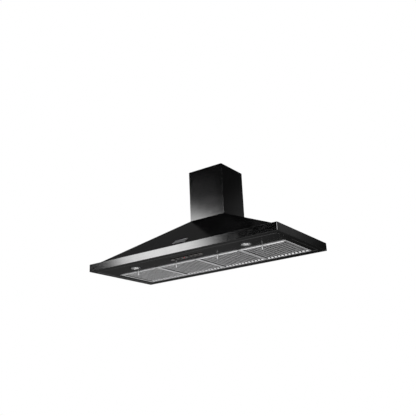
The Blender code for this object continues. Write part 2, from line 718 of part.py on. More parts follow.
# ---------------------------------------------------------------- chimney
def chimney_stations(inset, rear, bottom, top):
    """The plan of a chimney cover, open at the back except for two narrow returns."""
    half = CHIMNEY_WIDTH / 2 - inset
    front = -CHIMNEY_DEPTH + inset
    turn_in = half - 0.015
    plan = [(-turn_in, rear), (-half, rear), (-half, front), (half, front), (half, rear),
            (turn_in, rear)]
    return [[(x, y, z) for x, y in plan] for z in (bottom, top)]


def build_chimney():
    lower = chimney_stations(0.0, -0.0006, CANOPY_TOP + GAP, CHIMNEY_TOP)
    folded_sheet("chimney_cover_lower", lower, "black_enamel")
    upper = chimney_stations(0.0018, -0.0024, CANOPY_TOP + 0.004, CHIMNEY_TOP - 0.002)
    folded_sheet("chimney_cover_upper", upper, "black_enamel")
    plan = [(-0.1003, -0.040), (-0.1003, -0.0085), (-0.0830, -0.0085), (-0.0830, 0.0)]
    plan += [(-x, y) for x, y in reversed(plan)]
    heights = (CHIMNEY_TOP - 0.055, CHIMNEY_TOP - 0.020)
    stations = [[(x, y, z) for x, y in plan] for z in heights]
    folded_sheet("chimney_bracket", stations[::-1], "zinc_steel", thickness=0.0015)
    for name, side in (("bracket_screw_left", -1), ("bracket_screw_right", 1)):
        head = [(0, 0.0026), (0.0022, 0.0024), (0.0040, 0.0012), (0.0042, 0.0), (0, 0.0)]
        turned(name, head, "zinc_steel", steps=14, location=(side * 0.060, -0.0015 - GAP, sum(heights) / 2),
               rotation=(math.radians(90), 0, 0))


# ---------------------------------------------------------------- assembly
clear_scene()
PARTS = new_collection(COLLECTION)
CUTTERS = new_collection(COLLECTION + "_cutters")
PAINTS = {name: make_material(name) for name in MATERIALS}
HOOD_FRAME = bpy.data.objects.new("hood_frame", None)
HOOD_FRAME.location = (0, 0, -HANG_HEIGHT)
PARTS.objects.link(HOOD_FRAME)

build_rim_band()
build_canopy_shell()
build_rear_panel()
build_light_panel()
build_filter_rails()
for filter_index in range(FILTER_COUNT):
    build_filter_frame("filter_frame_%d" % (filter_index + 1), filter_origin(filter_index))
    build_filter_latch("filter_latch_%d" % (filter_index + 1), filter_origin(filter_index))
build_filter_baffles(["filter_baffles_%d" % (i + 1) for i in range(FILTER_COUNT)])
build_lamp(-1, "left")
build_lamp(1, "right")
build_controls()
build_badge()
build_blower_deck()
build_blower_housing()
build_blower_wheel()
build_blower_motor()
build_motor_bracket()
build_outlet_collar()
build_damper_flap("damper_flap_front", -1, (-0.040, 0.020))
build_damper_flap("damper_flap_rear", 1, (-0.020, 0.040))
build_electrics()
build_chimney()
bpy.context.view_layer.update()
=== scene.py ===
import json
import math

import bmesh
import bpy
from mathutils import Matrix, Vector


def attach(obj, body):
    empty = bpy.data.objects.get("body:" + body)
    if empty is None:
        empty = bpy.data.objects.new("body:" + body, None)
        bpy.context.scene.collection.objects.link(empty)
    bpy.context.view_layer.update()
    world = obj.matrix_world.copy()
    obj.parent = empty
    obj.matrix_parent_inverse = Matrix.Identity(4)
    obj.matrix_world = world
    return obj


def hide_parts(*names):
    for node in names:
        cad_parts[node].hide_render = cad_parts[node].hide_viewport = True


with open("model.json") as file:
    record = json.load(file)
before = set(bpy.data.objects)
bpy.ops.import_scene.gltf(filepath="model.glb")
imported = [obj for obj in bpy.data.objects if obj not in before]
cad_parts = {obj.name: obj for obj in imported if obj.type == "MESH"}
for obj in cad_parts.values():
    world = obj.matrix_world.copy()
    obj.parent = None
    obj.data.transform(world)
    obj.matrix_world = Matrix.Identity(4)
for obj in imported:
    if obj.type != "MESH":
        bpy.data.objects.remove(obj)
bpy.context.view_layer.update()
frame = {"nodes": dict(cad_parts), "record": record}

NODES = frame["nodes"]
SCENE = bpy.context.scene

LIFT = -0.150              # heights count from the rim's underside
RECESS_SHADE_LOW = 0.0050        # the recess between the filter channels, where painted shade darkens the steel
RECESS_SHADE_HIGH = 0.0091

# ---------------------------------------------------------------- camera
CAMERA_AT = Vector((1.7061, -2.6812, -0.8588))
CAMERA_AZIMUTH = math.radians(34.364)
CAMERA_ELEVATION = math.radians(-18.364)
CAMERA_ROLL = math.radians(-2.619)
CAMERA_LENS = 53.29


def build_camera():
    data = bpy.data.cameras.new("camera")
    data.sensor_width = 36.0
    data.lens = CAMERA_LENS
    data.clip_start = 0.05
    data.clip_end = 200.0
    camera = bpy.data.objects.new("camera", data)
    SCENE.collection.objects.link(camera)
    back = Vector((
        math.sin(CAMERA_AZIMUTH) * math.cos(CAMERA_ELEVATION),
        -math.cos(CAMERA_AZIMUTH) * math.cos(CAMERA_ELEVATION),
        math.sin(CAMERA_ELEVATION),
    ))
    right = (-back).cross(Vector((0, 0, 1))).normalized()
    up = right.cross(-back)
    turned_right = math.cos(CAMERA_ROLL) * right + math.sin(CAMERA_ROLL) * up
    turned_up = math.cos(CAMERA_ROLL) * up - math.sin(CAMERA_ROLL) * right
    turn = Matrix((turned_right, turned_up, back)).transposed()
    camera.matrix_world = Matrix.Translation(CAMERA_AT) @ turn.to_4x4()
    SCENE.camera = camera


# ---------------------------------------------------------------- node helpers
class Shader:
    """A node material under construction, with its Principled shader at hand."""

    def __init__(self, name):
        self.material = bpy.data.materials.new(name)
        self.material.use_nodes = True
        self.tree = self.material.node_tree
        self.bsdf = self.tree.nodes["Principled BSDF"]
        self.place = self.node("ShaderNodeTexCoord").outputs["Object"]

    def node(self, kind, **settings):
        made = self.tree.nodes.new(kind)
        for key, value in settings.items():
            setattr(made, key, value)
        return made

    def link(self, start, end):
        self.tree.links.new(start, end)
        return end

    def set(self, **values):
        for key, value in values.items():
            self.bsdf.inputs[key.replace("_", " ")].default_value = value
        return self

    def scaled(self, scale):
        mapping = self.node("ShaderNodeMapping")
        mapping.inputs["Scale"].default_value = scale
        self.link(self.place, mapping.inputs["Vector"])
        return mapping.outputs["Vector"]

    def noise(self, scale, detail=4.0, roughness=0.55, stretch=None, distortion=0.0):
        made = self.node("ShaderNodeTexNoise")
        made.inputs["Scale"].default_value = scale
        made.inputs["Detail"].default_value = detail
        made.inputs["Roughness"].default_value = roughness
        made.inputs["Distortion"].default_value = distortion
        self.link(self.scaled(stretch) if stretch else self.place, made.inputs["Vector"])
        return made.outputs["Fac"]

    def span(self, value, low, high, to_low=0.0, to_high=1.0, kind='SMOOTHSTEP'):
        """value from low..high, mapped to to_low..to_high."""
        made = self.node("ShaderNodeMapRange", interpolation_type=kind)
        for key, number in (("From Min", low), ("From Max", high), ("To Min", to_low), ("To Max", to_high)):
            made.inputs[key].default_value = number
        self.link(value, made.inputs["Value"])
        return made.outputs["Result"]

    def math(self, operation, a, b):
        made = self.node("ShaderNodeMath", operation=operation)
        for socket, value in zip(made.inputs, (a, b)):
            if isinstance(value, (int, float)):
                socket.default_value = value
            else:
                self.link(value, socket)
        return made.outputs["Value"]

    def mix(self, factor, a, b, blend='MIX'):
        """Two colours, or sockets, mixed by factor."""
        made = self.node("ShaderNodeMix", data_type='RGBA', blend_type=blend)
        made.clamp_factor = True
        for socket, value in ((made.inputs[0], factor), (made.inputs[6], a), (made.inputs[7], b)):
            if isinstance(value, tuple):
                socket.default_value = (*value, 1.0)
            elif isinstance(value, (int, float)):
                socket.default_value = value
            else:
                self.link(value, socket)
        return made.outputs[2]

    def edges(self, radius=0.0012, low=0.02, high=0.35):
        """0 on flats, 1 where the surface turns within the radius: the worn edges."""
        bevel = self.node("ShaderNodeBevel", samples=4)
        bevel.inputs["Radius"].default_value = radius
        geometry = self.node("ShaderNodeNewGeometry")
        dot = self.node("ShaderNodeVectorMath", operation='DOT_PRODUCT')
        self.link(bevel.outputs["Normal"], dot.inputs[0])
        self.link(geometry.outputs["Normal"], dot.inputs[1])
        return self.span(dot.outputs["Value"], 1.0 - low, 1.0 - high)

    def bump(self, height, distance, strength=1.0):
        """Adds a layer of relief on top of what is linked already."""
        made = self.node("ShaderNodeBump")
        made.inputs["Distance"].default_value = distance
        made.inputs["Strength"].default_value = strength
        self.link(height, made.inputs["Height"])
        target = self.bsdf.inputs["Normal"]
        if target.is_linked:
            self.link(target.links[0].from_socket, made.inputs["Normal"])
        self.link(made.outputs["Normal"], target)
        return self

    def drive(self, name, socket):
        self.link(socket, self.bsdf.inputs[name])
        return self


# ---------------------------------------------------------------- materials
def black_enamel():
    s = Shader("black_enamel")
    s.set(IOR=1.5, Specular_IOR_Level=0.5)
    cloud = s.noise(7.0, detail=3)
    grime = s.noise(38.0, detail=6, roughness=0.65)
    worn = s.math('MULTIPLY', s.edges(0.0010), s.noise(90.0, detail=3))
    base = s.mix(s.span(cloud, 0.35, 0.65), (0.0012, 0.0012, 0.0013), (0.0022, 0.0022, 0.0024))
    s.drive("Base Color", s.mix(s.span(worn, 0.25, 0.75, 0.0, 0.5), base, (0.012, 0.012, 0.013)))
    rough = s.math('ADD', s.span(cloud, 0.3, 0.7, 0.120, 0.150), s.span(grime, 0.4, 0.75, 0.0, 0.03))
    s.drive("Roughness", rough)
    s.bump(s.noise(260.0, detail=2), 0.000005)
    return s.material


def plain_metal(name, colour, roughness, grain=(6, 160, 160), depth=0.00002, spread=0.06, wear=0.12):
    """A rolled or ground metal, its grain running along the axis that the stretch leaves short."""
    s = Shader(name)
    s.set(Metallic=1.0)
    lines = s.noise(14.0, detail=5, roughness=0.6, stretch=grain)
    cloud = s.noise(24.0, detail=4)
    dark = tuple(c * 0.80 for c in colour)
    light = tuple(min(1.0, c * 1.12) for c in colour)
    tone = s.mix(s.span(lines, 0.35, 0.65), dark, light)
    tone = s.mix(s.span(cloud, 0.35, 0.75, 0.0, 0.25), tone, dark)
    pale = tuple(min(1.0, c + wear) for c in colour)
    s.drive("Base Color", s.mix(s.math('MULTIPLY', s.edges(0.0006), 0.7), tone, pale))
    s.drive("Roughness", s.span(lines, 0.3, 0.7, roughness - spread, roughness + spread))
    s.bump(lines, depth)
    return s.material


def filter_steel():
    """Satin steel, with painted shade darkening the recess between the channels."""
    s = Shader("stainless_filter")
    s.set(Metallic=1.0)
    lines = s.noise(14.0, detail=5, roughness=0.6, stretch=(160, 6, 160))
    cloud = s.noise(24.0, detail=4)
    tone = s.mix(s.span(lines, 0.35, 0.65), (0.78, 0.78, 0.79), (0.92, 0.92, 0.93))
    tone = s.mix(s.span(cloud, 0.35, 0.75, 0.0, 0.25), tone, (0.58, 0.57, 0.55))
    tone = s.mix(s.math('MULTIPLY', s.edges(0.0005), 0.6), tone, (0.97, 0.97, 0.97))
    parts = s.node("ShaderNodeSeparateXYZ")
    s.link(s.place, parts.inputs["Vector"])
    height = parts.outputs["Z"]
    # painted shade: between these heights, in the recess between the channels, the steel is darkened
    recess_shade = s.math('MULTIPLY', s.span(height, LIFT + RECESS_SHADE_LOW, LIFT + RECESS_SHADE_LOW + 0.0012),
                    s.span(height, LIFT + RECESS_SHADE_HIGH, LIFT + RECESS_SHADE_HIGH + 0.0002, 1.0, 0.0))
    s.drive("Base Color", s.mix(s.math('MULTIPLY', recess_shade, 0.85), tone, (0.05, 0.048, 0.045)))
    s.drive("Roughness", s.math('ADD', s.span(lines, 0.3, 0.7, 0.25, 0.37), s.math('MULTIPLY', recess_shade, 0.2)))
    s.bump(lines, 0.00002)
    return s.material


def moulded(name, colour, roughness, bump=0.00006, grain=900.0):
    s = Shader(name)
    s.set(IOR=1.49)
    texture = s.noise(grain, detail=2)
    cloud = s.noise(30.0, detail=4)
    dark = tuple(c * 0.85 for c in colour)
    pale = tuple(min(1.0, c * 1.3 + 0.01) for c in colour)
    tone = s.mix(s.span(cloud, 0.35, 0.7), colour, dark)
    s.drive("Base Color", s.mix(s.math('MULTIPLY', s.edges(0.0008), 0.6), tone, pale))
    s.drive("Roughness", s.span(cloud, 0.3, 0.7, roughness - 0.05, roughness + 0.05))
    s.bump(texture, bump)
    return s.material


def glass(name):
    s = Shader(name)
    s.set(Base_Color=(0.99, 0.99, 0.99, 1), IOR=1.40, Transmission_Weight=1.0)
    s.drive("Roughness", s.span(s.noise(60.0, detail=5), 0.45, 0.8, 0.0, 0.02))
    return s.material


def red_lens():
    s = Shader("indicator_red")
    s.set(IOR=1.49, Transmission_Weight=0.4, Emission_Color=(1.0, 0.05, 0.03, 1), Emission_Strength=0.12)
    s.drive("Base Color", s.mix(s.noise(300.0), (0.55, 0.01, 0.01), (0.75, 0.03, 0.02)))
    s.drive("Roughness", s.span(s.noise(200.0), 0.3, 0.7, 0.12, 0.22))
    return s.material


def build_materials():
    return {
        "black_enamel": black_enamel(),
        "galvanised_steel": plain_metal("galvanised_steel", (0.50, 0.51, 0.52), 0.42, grain=(20, 20, 20)),
        "stainless_filter": filter_steel(),
        "bright_chrome": plain_metal("bright_chrome", (0.95, 0.95, 0.96), 0.16, spread=0.03, depth=0.000004),
        "trim_chrome": plain_metal("trim_chrome", (0.42, 0.40, 0.39), 0.16, spread=0.03, depth=0.000004),
        "polished_aluminium": plain_metal("polished_aluminium", (0.97, 0.97, 0.97), 0.12, grain=(60, 60, 3),
                                          spread=0.03, depth=0.000004),
        "fascia_black": moulded("fascia_black", (0.010, 0.010, 0.011), 0.14, bump=0.000004),
        "lamp_ring_grey": plain_metal("lamp_ring_grey", (0.12, 0.12, 0.125), 0.30, grain=(30, 30, 30)),
        "lamp_glass": glass("lamp_glass"),
        "button_black": moulded("button_black", (0.006, 0.006, 0.007), 0.30, bump=0.00001),
        "indicator_red": red_lens(),
        "badge_metal": plain_metal("badge_metal", (0.30, 0.30, 0.31), 0.35, grain=(160, 160, 6)),
        "blower_plastic": moulded("blower_plastic", (0.30, 0.30, 0.31), 0.50),
        "black_plastic": moulded("black_plastic", (0.022, 0.022, 0.023), 0.45),
        "capacitor_white": moulded("capacitor_white", (0.80, 0.80, 0.78), 0.45),
    }


# ---------------------------------------------------------------- stage and light
FLOOR_Z = -1.80


def staged_mesh(name, bm, material, camera=True, glossy=True):
    mesh = bpy.data.meshes.new(name)
    bm.to_mesh(mesh)
    bm.free()
    obj = bpy.data.objects.new(name, mesh)
    SCENE.collection.objects.link(obj)
    mesh.materials.append(material)
    obj.visible_camera = camera
    obj.visible_glossy = glossy
    return obj


def emission_material(name, strength):
    s = Shader(name)
    s.tree.nodes.remove(s.bsdf)
    emission = s.node("ShaderNodeEmission")
    emission.inputs["Strength"].default_value = strength
    output = s.tree.nodes["Material Output"]
    s.link(emission.outputs["Emission"], output.inputs["Surface"])
    return s, emission


def aim_at(obj, centre, aim):
    """Puts obj at centre with its local Z pointing at aim."""
    forward = (Vector(aim) - Vector(centre)).normalized()
    right = Vector((0, 0, 1)).cross(forward).normalized()
    up = forward.cross(right)
    obj.matrix_world = Matrix.Translation(centre) @ Matrix((right, up, forward)).transposed().to_4x4()


def soft_disc(name, centre, aim, radius, core, strength, squeeze=1.0, lean=0.0):
    """A round glowing card, full within the core radius and fading to nothing at its edge."""
    s, emission = emission_material(name, strength)
    parts = s.node("ShaderNodeSeparateXYZ")
    s.link(s.place, parts.inputs["Vector"])
    upright = s.math('SUBTRACT', parts.outputs["X"], s.math('MULTIPLY', parts.outputs["Y"], lean))
    across = s.math('MULTIPLY', upright, 1.0 / squeeze)
    square = s.math('ADD', s.math('MULTIPLY', across, across),
                    s.math('MULTIPLY', parts.outputs["Y"], parts.outputs["Y"]))
    fade = s.span(s.math('SQRT', square, 0.0), core, radius, strength, 0.0)
    s.link(fade, emission.inputs["Strength"])
    bm = bmesh.new()
    bmesh.ops.create_circle(bm, cap_ends=True, segments=48, radius=radius)
    for vert in bm.verts:
        vert.co.x = vert.co.x * squeeze + vert.co.y * lean
    disc = staged_mesh(name, bm, s.material, camera=False)
    aim_at(disc, centre, aim)
    return disc


def build_stage():
    bm = bmesh.new()
    bmesh.ops.create_uvsphere(bm, u_segments=48, v_segments=24, radius=60.0)
    dome_paint, _ = emission_material("backdrop_white", 1.0)
    dome = staged_mesh("backdrop", bm, dome_paint.material, glossy=False)
    dome.visible_diffuse = False
    dome.visible_transmission = False
    dome.visible_shadow = False

    bm = bmesh.new()
    bmesh.ops.create_circle(bm, cap_ends=True, segments=96, radius=55.0)
    s = Shader("floor_pale")
    s.set(Roughness=0.7, Specular_IOR_Level=0.2)
    s.drive("Base Color", s.mix(s.noise(3.0), (0.78, 0.78, 0.78), (0.82, 0.82, 0.82)))
    length = s.node("ShaderNodeVectorMath", operation='LENGTH')
    s.link(s.place, length.inputs[0])
    emission = s.node("ShaderNodeEmission")
    emission.inputs["Strength"].default_value = 1.0
    blend = s.node("ShaderNodeMixShader")
    s.link(s.span(length.outputs["Value"], 2.0, 7.0), blend.inputs[0])
    s.link(s.bsdf.outputs["BSDF"], blend.inputs[1])
    s.link(emission.outputs["Emission"], blend.inputs[2])
    s.link(blend.outputs["Shader"], s.tree.nodes["Material Output"].inputs["Surface"])
    floor = staged_mesh("floor", bm, s.material, glossy=False)
    floor.location.z = FLOOR_Z
    floor.visible_diffuse = False


# room brightness by the height of the direction, from straight down to straight up
ROOM = (
    (-1.0, 1.10), (-0.66, 1.10), (-0.55, 0.85), (-0.47, 0.28), (-0.37, 0.09), (-0.29, 0.030), (-0.20, 0.015),
    (0.10, 0.015), (0.40, 0.025), (0.60, 0.002), (1.0, 0.002),
)
# direction, inner and outer angle in degrees, strength
LOBES = (
    ((-0.60, 0.76, -0.24), 1.0, 13.0, 0.065),  # behind, below, left
    ((-0.62, 0.44, 0.65), 5.0, 12.5, 0.060),   # behind, above, left
    ((0.456, 0.842, 0.286), 0.0, 4.5, 0.34),   # behind, right
    ((-0.85, 0.05, -0.52), 14.0, 30.0, -0.80),  # a dark gap in the floor's glow, left
)


def build_world():
    """A dim studio room: a pale floor below, nearly black overhead, and a few soft pale lobes."""
    world = bpy.data.worlds.new("studio")
    SCENE.world = world
    world.use_nodes = True
    tree = world.node_tree

    def node(kind, **settings):
        made = tree.nodes.new(kind)
        for key, value in settings.items():
            setattr(made, key, value)
        return made

    coords = node("ShaderNodeTexCoord").outputs["Generated"]
    parts = node("ShaderNodeSeparateXYZ")
    tree.links.new(coords, parts.inputs["Vector"])
    ramp = node("ShaderNodeValToRGB")
    spread = node("ShaderNodeMapRange")
    spread.inputs["From Min"].default_value = -1.0
    tree.links.new(parts.outputs["Z"], spread.inputs["Value"])
    tree.links.new(spread.outputs["Result"], ramp.inputs["Fac"])
    while len(ramp.color_ramp.elements) < len(ROOM):
        ramp.color_ramp.elements.new(0.5)
    for element, (height, value) in zip(ramp.color_ramp.elements, ROOM):
        element.position = (height + 1) / 2
        element.color = (value, value, value, 1)
    total = ramp.outputs["Color"]
    for direction, inner, outer, strength in LOBES:
        dot = node("ShaderNodeVectorMath", operation='DOT_PRODUCT')
        tree.links.new(coords, dot.inputs[0])
        dot.inputs[1].default_value = Vector(direction).normalized()
        fade = node("ShaderNodeMapRange", interpolation_type='SMOOTHSTEP')
        fade.inputs["From Min"].default_value = math.cos(math.radians(outer))
        fade.inputs["From Max"].default_value = math.cos(math.radians(inner))
        fade.inputs["To Max"].default_value = strength
        tree.links.new(dot.outputs["Value"], fade.inputs["Value"])
        add = node("ShaderNodeVectorMath", operation='ADD')
        tree.links.new(total, add.inputs[0])
        tree.links.new(fade.outputs["Result"], add.inputs[1])
        total = add.outputs["Vector"]
    # the dark lobe may take away more than the room gives, and light can't be negative
    clamp = node("ShaderNodeVectorMath", operation='MAXIMUM')
    tree.links.new(total, clamp.inputs[0])
    tree.links.new(clamp.outputs["Vector"], tree.nodes["Background"].inputs["Color"])


def build_lights():
    # main softbox at the left front: its reflection runs along the rim's face
    soft_disc("softbox_front_left", (-1.88, -2.70, 0.60), (-1.88, 0.0, 0.60), 0.70, 0.38, 15.0, lean=0.42)
    # narrow fill at the right front, for the corner folds and small round parts
    soft_disc("softbox_front_right", (2.6, -3.0, 0.9), (0.5, -0.5, -0.1), 1.0, 0.7, 22.0, squeeze=0.9)


def build_top_light():
    data = bpy.data.lights.new("overhead", 'AREA')
    data.shape = 'RECTANGLE'
    data.size = 3.0
    data.size_y = 2.0
    data.energy = 32.0
    lamp = bpy.data.objects.new("overhead", data)
    SCENE.collection.objects.link(lamp)
    lamp.location = (0.0, -0.6, 2.8)


# ---------------------------------------------------------------- dimensions
# as the CAD has them
WIDTH = 1.100
DEPTH = 0.485
RIM_HEIGHT = 0.038
RIM_LEDGE = 0.020
FRONT_HEM = 0.038
SIDE_HEM = 0.025
HEM_LIP = 0.008
CANOPY_TOP = 0.241
CHIMNEY_TOP = 0.513
CHIMNEY_WIDTH = 0.208
CHIMNEY_DEPTH = 0.200
SHEET = 0.0010
BACK_SHEET = 0.0012
GAP = 0.0003
PANEL_BOTTOM = 0.0015
PANEL_HALF = 0.5235
PANEL_FRONT = -0.4455
PANEL_REAR = -0.3145
LAMP_X = 0.3285
LAMP_Y = -0.379
CONTROL_Y = -0.387
CONTROL_LENGTH = 0.188
CONTROL_DEPTH = 0.022
CONTROL_RIM = 0.0022
BUTTON_PITCH = 0.026
BUTTON_SLOTS = (-2.5, -1.5, 0.5, 1.5, 2.5)
INDICATOR_SLOT = -0.5
FILTER_PITCH = 0.2475
FILTER_WIDTH = 0.2468
FILTER_FRONT = -0.3125
FILTER_REAR = -0.0485
FILTER_BOTTOM = 0.0003
FILTER_TOP = 0.0103
FRAME_SIDE = 0.010
FRAME_FRONT = 0.013
FRONT_LIP = 0.0033
FRONT_LIP_HALF = 0.1135
BAFFLE_PITCH = 0.019
BAFFLE_WIDTH = 0.013
BAFFLE_SHEET = 0.0006
BAFFLE_COUNT = 12
BAFFLE_LOW = 0.0042
BAFFLE_HIGH = 0.0089
BAFFLE_RAMP = 0.009
# finer shapes of the visual pieces
RIM_CORNER = 0.0045
HEM_ROLL = 0.0035
PANEL_ROLL = 0.0045
CORNER_STEPS = 8
FRAME_SHEET = 0.0008
FRAME_CROWN = 0.0006
CROWN_RUN_FRONT = 0.016    # the crown runs out to flat over these lengths
CROWN_RUN_REAR = 0.013
LIP_FRONT = -0.3122
LIP_TOE = -0.3085
LIP_BACK = -0.3077
LIP_BREAK = 0.0055         # half the gap in the lip round the latch
MOUTH_HALF = 0.0087
SLOT_HALF = 0.0036
BAFFLE_FLANGE = 0.0030
PULL_TOP = -0.0004
PULL_LOW = -0.0180
PULL_RIBS = 5
BADGE_RIBS = 22


# ---------------------------------------------------------------- mesh helpers
def finish_piece(obj, paint, body, stands_for, angle=30):
    """Gives a piece its paint, smooth shading and body, and hides the nodes that it stands for."""
    obj.data.materials.clear()
    obj.data.materials.append(PAINTS[paint])
    obj.data.shade_smooth()
    obj.data.set_sharp_from_angle(angle=math.radians(angle))
    weighted = obj.modifiers.new("normals", 'WEIGHTED_NORMAL')
    weighted.weight = 100
    weighted.keep_sharp = True
    settle(obj)
    obj.data.transform(Matrix.Translation((0, 0, LIFT)))
    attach(obj, body)
    if stands_for:
        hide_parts(*stands_for)
    return obj


def object_from(bm, name):
    mesh = bpy.data.meshes.new(name)
    bm.to_mesh(mesh)
    bm.free()
    obj = bpy.data.objects.new(name, mesh)
    SCENE.collection.objects.link(obj)
    return obj


def piece(name, bm, paint, body="hood_body", stands_for=(), angle=30):
    bmesh.ops.recalc_face_normals(bm, faces=bm.faces)
    return finish_piece(object_from(bm, name), paint, body, stands_for, angle)


def settle(obj):
    """Replaces the object's mesh by what its modifiers make, and drops them."""
    evaluated = obj.evaluated_get(bpy.context.evaluated_depsgraph_get())
    mesh = bpy.data.meshes.new_from_object(evaluated)
    obj.modifiers.clear()
    obj.data = mesh
    return obj


def cut(obj, tools):
    """Cuts the tools out of the object, and removes them."""
    for tool in tools:
        modifier = obj.modifiers.new("cut", 'BOOLEAN')
        modifier.operation = 'DIFFERENCE'
        modifier.solver = 'EXACT'
        modifier.object = tool
    settle(obj)
    for tool in tools:
        bpy.data.objects.remove(tool, do_unlink=True)
    return obj


def sheet(name, stations, thickness=SHEET, fold=0.0020, segments=6, closed=False):
    """Sheet metal from rows of points, its folds rounded finely, thickened inwards."""
    bm = bmesh.new()
    rows = [[bm.verts.new(point) for point in row] for row in stations]
    pairs = list(zip(rows, rows[1:]))
    if closed:
        pairs.append((rows[-1], rows[0]))
    for row, following in pairs:
        for i in range(len(row) - 1):
            bm.faces.new((row[i], row[i + 1], following[i + 1], following[i]))
    bmesh.ops.remove_doubles(bm, verts=bm.verts, dist=1e-6)
    bm.normal_update()
    bends = [e for e in bm.edges if len(e.link_faces) == 2 and e.calc_face_angle() > 0.35]
    bmesh.ops.bevel(bm, geom=bends, offset=fold, segments=segments, profile=0.5, affect='EDGES')
    obj = object_from(bm, name)
    solidify = obj.modifiers.new("Sheet", 'SOLIDIFY')
    solidify.thickness = thickness
    solidify.offset = -1.0
    solidify.use_even_offset = True
    return settle(obj)


def long_sheet(name, profile, half_length, **options):
    stations = [[(x, y, z) for y, z in profile] for x in (-half_length, half_length)]
    return sheet(name, stations, **options)


def add_bar(bm, low, high, bevel=0.0005, segments=3, matrix=Matrix.Identity(4)):
    """A box with rounded edges, added to the mesh."""
    low, high = Vector(low), Vector(high)
    made = bmesh.new()
    scale = Matrix.Diagonal((*(high - low), 1))
    bmesh.ops.create_cube(made, size=1.0, matrix=Matrix.Translation((low + high) / 2) @ scale)
    if bevel:
        bmesh.ops.bevel(made, geom=list(made.edges), offset=bevel, segments=segments, profile=0.5,
                        affect='EDGES')
    bmesh.ops.transform(made, matrix=matrix, verts=made.verts)
    join(bm, made)


def join(bm, other):
    mesh = bpy.data.meshes.new("join")
    other.to_mesh(mesh)
    other.free()
    bm.from_mesh(mesh)
    bpy.data.meshes.remove(mesh)


def add_lathe(bm, profile, steps=64, closed=False, matrix=Matrix.Identity(4)):
    """A turned shape about local Z from (radius, z) points, added to the mesh."""
    rings = []
    for radius, z in profile:
        if radius < 1e-7:
            rings.append([bm.verts.new(matrix @ Vector((0, 0, z)))])
            continue
        ring = []
        for i in range(steps):
            angle = 2 * math.pi * i / steps
            point = Vector((radius * math.cos(angle), radius * math.sin(angle), z))
            ring.append(bm.verts.new(matrix @ point))
        rings.append(ring)
    pairs = list(zip(rings, rings[1:]))
    if closed:
        pairs.append((rings[-1], rings[0]))
    for a, b in pairs:
        for i in range(steps):
            j = (i + 1) % steps
            corners = [a[i % len(a)], a[j % len(a)], b[j % len(b)], b[i % len(b)]]
            unique = list(dict.fromkeys(corners))
            if len(unique) > 2:
                bm.faces.new(unique)


def add_loft(bm, rings, cyclic=False):
    """A closed solid through equal rings of points, capped unless it closes on itself."""
    rows = [[bm.verts.new(point) for point in ring] for ring in rings]
    pairs = list(zip(rows, rows[1:]))
    if cyclic:
        pairs.append((rows[-1], rows[0]))
    for row, following in pairs:
        for i in range(len(row)):
            j = (i + 1) % len(row)
            bm.faces.new((row[i], row[j], following[j], following[i]))
    if not cyclic:
        bm.faces.new(rows[0][::-1])
        bm.faces.new(rows[-1])


def arc(centre, radius, start, end, steps):
    points = []
    for i in range(steps + 1):
        angle = math.radians(start + (end - start) * i / steps)
        points.append((centre[0] + radius * math.cos(angle), centre[1] + radius * math.sin(angle)))
    return points


def rounded(profile, radius, steps=4):
    """The open polyline with its inner corners rounded."""
    points = [profile[0]]
    for before, corner, after in zip(profile, profile[1:], profile[2:]):
        b, c, a = Vector(before), Vector(corner), Vector(after)
        start = c + (b - c).normalized() * min(radius, (b - c).length * 0.49)
        end = c + (a - c).normalized() * min(radius, (a - c).length * 0.49)
        for i in range(steps + 1):
            t = i / steps
            point = start * (1 - t) ** 2 + c * 2 * t * (1 - t) + end * t ** 2
            points.append(tuple(point))
    points.append(profile[-1])
    return points


def offset_path(path, distance):
    """The path moved to its left by the distance, its corners mitred."""
    moved = []
    for i, point in enumerate(path):
        here = Vector(point)
        before = here - Vector(path[max(i - 1, 0)])
        after = Vector(path[min(i + 1, len(path) - 1)]) - here
        sides = [Vector((-leg.y, leg.x)).normalized() for leg in (before, after) if leg.length > 1e-9]
        normal = sum(sides, Vector((0, 0))).normalized()
        moved.append(tuple(here + normal * distance / max(0.5, normal.dot(sides[0]))))
    return moved


def stadium(length, width, steps=20):
    reach = (length - width) / 2
    return arc((reach, 0), width / 2, -90, 90, steps) + arc((-reach, 0), width / 2, 90, 270, steps)


def plate(name, outline, low, high, location=(0, 0, 0)):
    """A flat outline of (x, y) points between two heights."""
    bm = bmesh.new()
    add_loft(bm, [[(x, y, z) for x, y in outline] for z in (low, high)])
    bmesh.ops.translate(bm, verts=bm.verts, vec=location)
    bmesh.ops.recalc_face_normals(bm, faces=bm.faces)
    return object_from(bm, name)


def rod(name, radius, low, high, location, steps=48):
    bm = bmesh.new()
    add_lathe(bm, [(0, high), (radius, high), (radius, low), (0, low)], steps,
              matrix=Matrix.Translation(location))
    bmesh.ops.recalc_face_normals(bm, faces=bm.faces)
    return object_from(bm, name)


# ---------------------------------------------------------------- sheet metal
def rim_stations(rows, rear, corner=0.0):
    """Rows of points from the left rear corner round the front; the front corners take a radius."""
    half = WIDTH / 2
    centre = (half - corner, -DEPTH + corner)
    turn = [math.radians(90 * i / CORNER_STEPS) for i in range(CORNER_STEPS + 1)] if corner else [0.0]

    def place(side, side_inset, front_inset, z, angle):
        if corner and side_inset < corner:
            x = centre[0] + corner * math.cos(angle)
            y = centre[1] - corner * math.sin(angle)
            return (side * x, y, z)
        return (side * (half - side_inset), -DEPTH + front_inset, z)

    stations = [[(-(half - side_inset), rear, z) for side_inset, front_inset, z in rows]]
    stations += [[place(-1, *row, angle) for row in rows] for angle in turn]
    stations += [[place(1, *row, angle) for row in rows] for angle in reversed(turn)]
    stations += [[(half - side_inset, rear, z) for side_inset, front_inset, z in rows]]
    return stations


